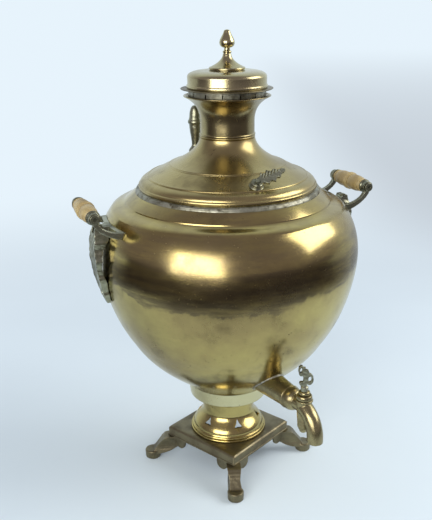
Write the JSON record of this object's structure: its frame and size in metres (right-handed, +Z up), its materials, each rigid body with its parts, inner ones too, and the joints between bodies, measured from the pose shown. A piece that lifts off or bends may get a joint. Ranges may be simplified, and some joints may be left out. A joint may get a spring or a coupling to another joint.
{
  "type": "samovar",
  "caption": "Vase-shaped brass charcoal samovar on a square footed base, with a plug tap, wooden side grips, a lift-off cover, a draught collar and a capped chimney.",
  "frame": {"origin": "on the urn's upright axis, in the plane that its feet stand on", "axes": "+Z up along the urn's axis, -Y towards the tap, handles near +X and -X"},
  "size_m": [0.3806, 0.3602, 0.5671],
  "materials": {
    "brass": "aged polished brass with olive-gold patina",
    "pale_brass": "worn pale brass",
    "red_brass": "cast red brass, brown patina",
    "dark_bronze": "cast bronze, grey-green patina",
    "tinning": "worn tin plating",
    "iron": "sooty cast iron",
    "steel": "dull steel",
    "wood": "turned hardwood, ochre varnish, worn"
  },
  "bodies": {
    "urn": {"base_plate": "red_brass", "foot_front_left": "red_brass", "foot_front_right": "red_brass", "foot_back_left": "red_brass", "foot_back_right": "red_brass", "foot_screws": "steel", "pedestal": "brass", "pedestal_rivets": "brass", "fire_drum": "pale_brass", "fire_grate": "iron", "fire_tube": "brass", "body_shell": "brass", "mouth_ring": "tinning", "tap_shank": "brass", "tap_body": "brass", "handle_bracket_left": "dark_bronze", "handle_bracket_right": "dark_bronze", "bracket_rivets_left": "dark_bronze", "bracket_rivets_right": "dark_bronze", "handle_grip_left": "wood", "handle_grip_right": "wood", "grip_ferrules_left": "dark_bronze", "grip_ferrules_right": "dark_bronze", "handle_rod_left": "dark_bronze", "handle_rod_right": "dark_bronze"},
    "tap_key": {"tap_plug": "brass", "tap_key": "dark_bronze", "key_pin": "steel", "plug_nut": "brass"},
    "cover": {"cover_shell": "brass", "neck_spigot": "brass", "rear_knob": "dark_bronze", "knob_nut": "steel", "vent_seat": "dark_bronze", "vent_screw": "dark_bronze"},
    "vent_lever": {"vent_leaf": "dark_bronze"},
    "draught_collar": {"draught_collar": "brass"},
    "cap": {"cap_shell": "brass", "cap_brim": "red_brass", "cap_band": "tinning", "finial_base": "brass", "finial": "brass", "finial_nut": "steel"}
  },
  "joints": [
    {"name": "tap_turn", "type": "hinge", "parent": "urn", "child": "tap_key", "pos_m": [0, -0.16567, 0.154], "axis": [0, 0, 1], "continuous": true},
    {"name": "cover_lift", "type": "slide", "parent": "urn", "child": "cover", "axis": [0, 0, 1], "range_m": [0, 0.1]},
    {"name": "vent_turn", "type": "hinge", "parent": "cover", "child": "vent_lever", "pos_m": [-0.01756, -0.09035, 0.40581], "axis": [-0.0848, -0.4361, 0.8959], "range_deg": [-90, 0]},
    {"name": "collar_lift", "type": "slide", "parent": "cover", "child": "draught_collar", "axis": [0, 0, 1], "range_m": [0, 0.05]},
    {"name": "cap_lift", "type": "slide", "parent": "draught_collar", "child": "cap", "axis": [0, 0, 1], "range_m": [0, 0.05]}
  ]
}
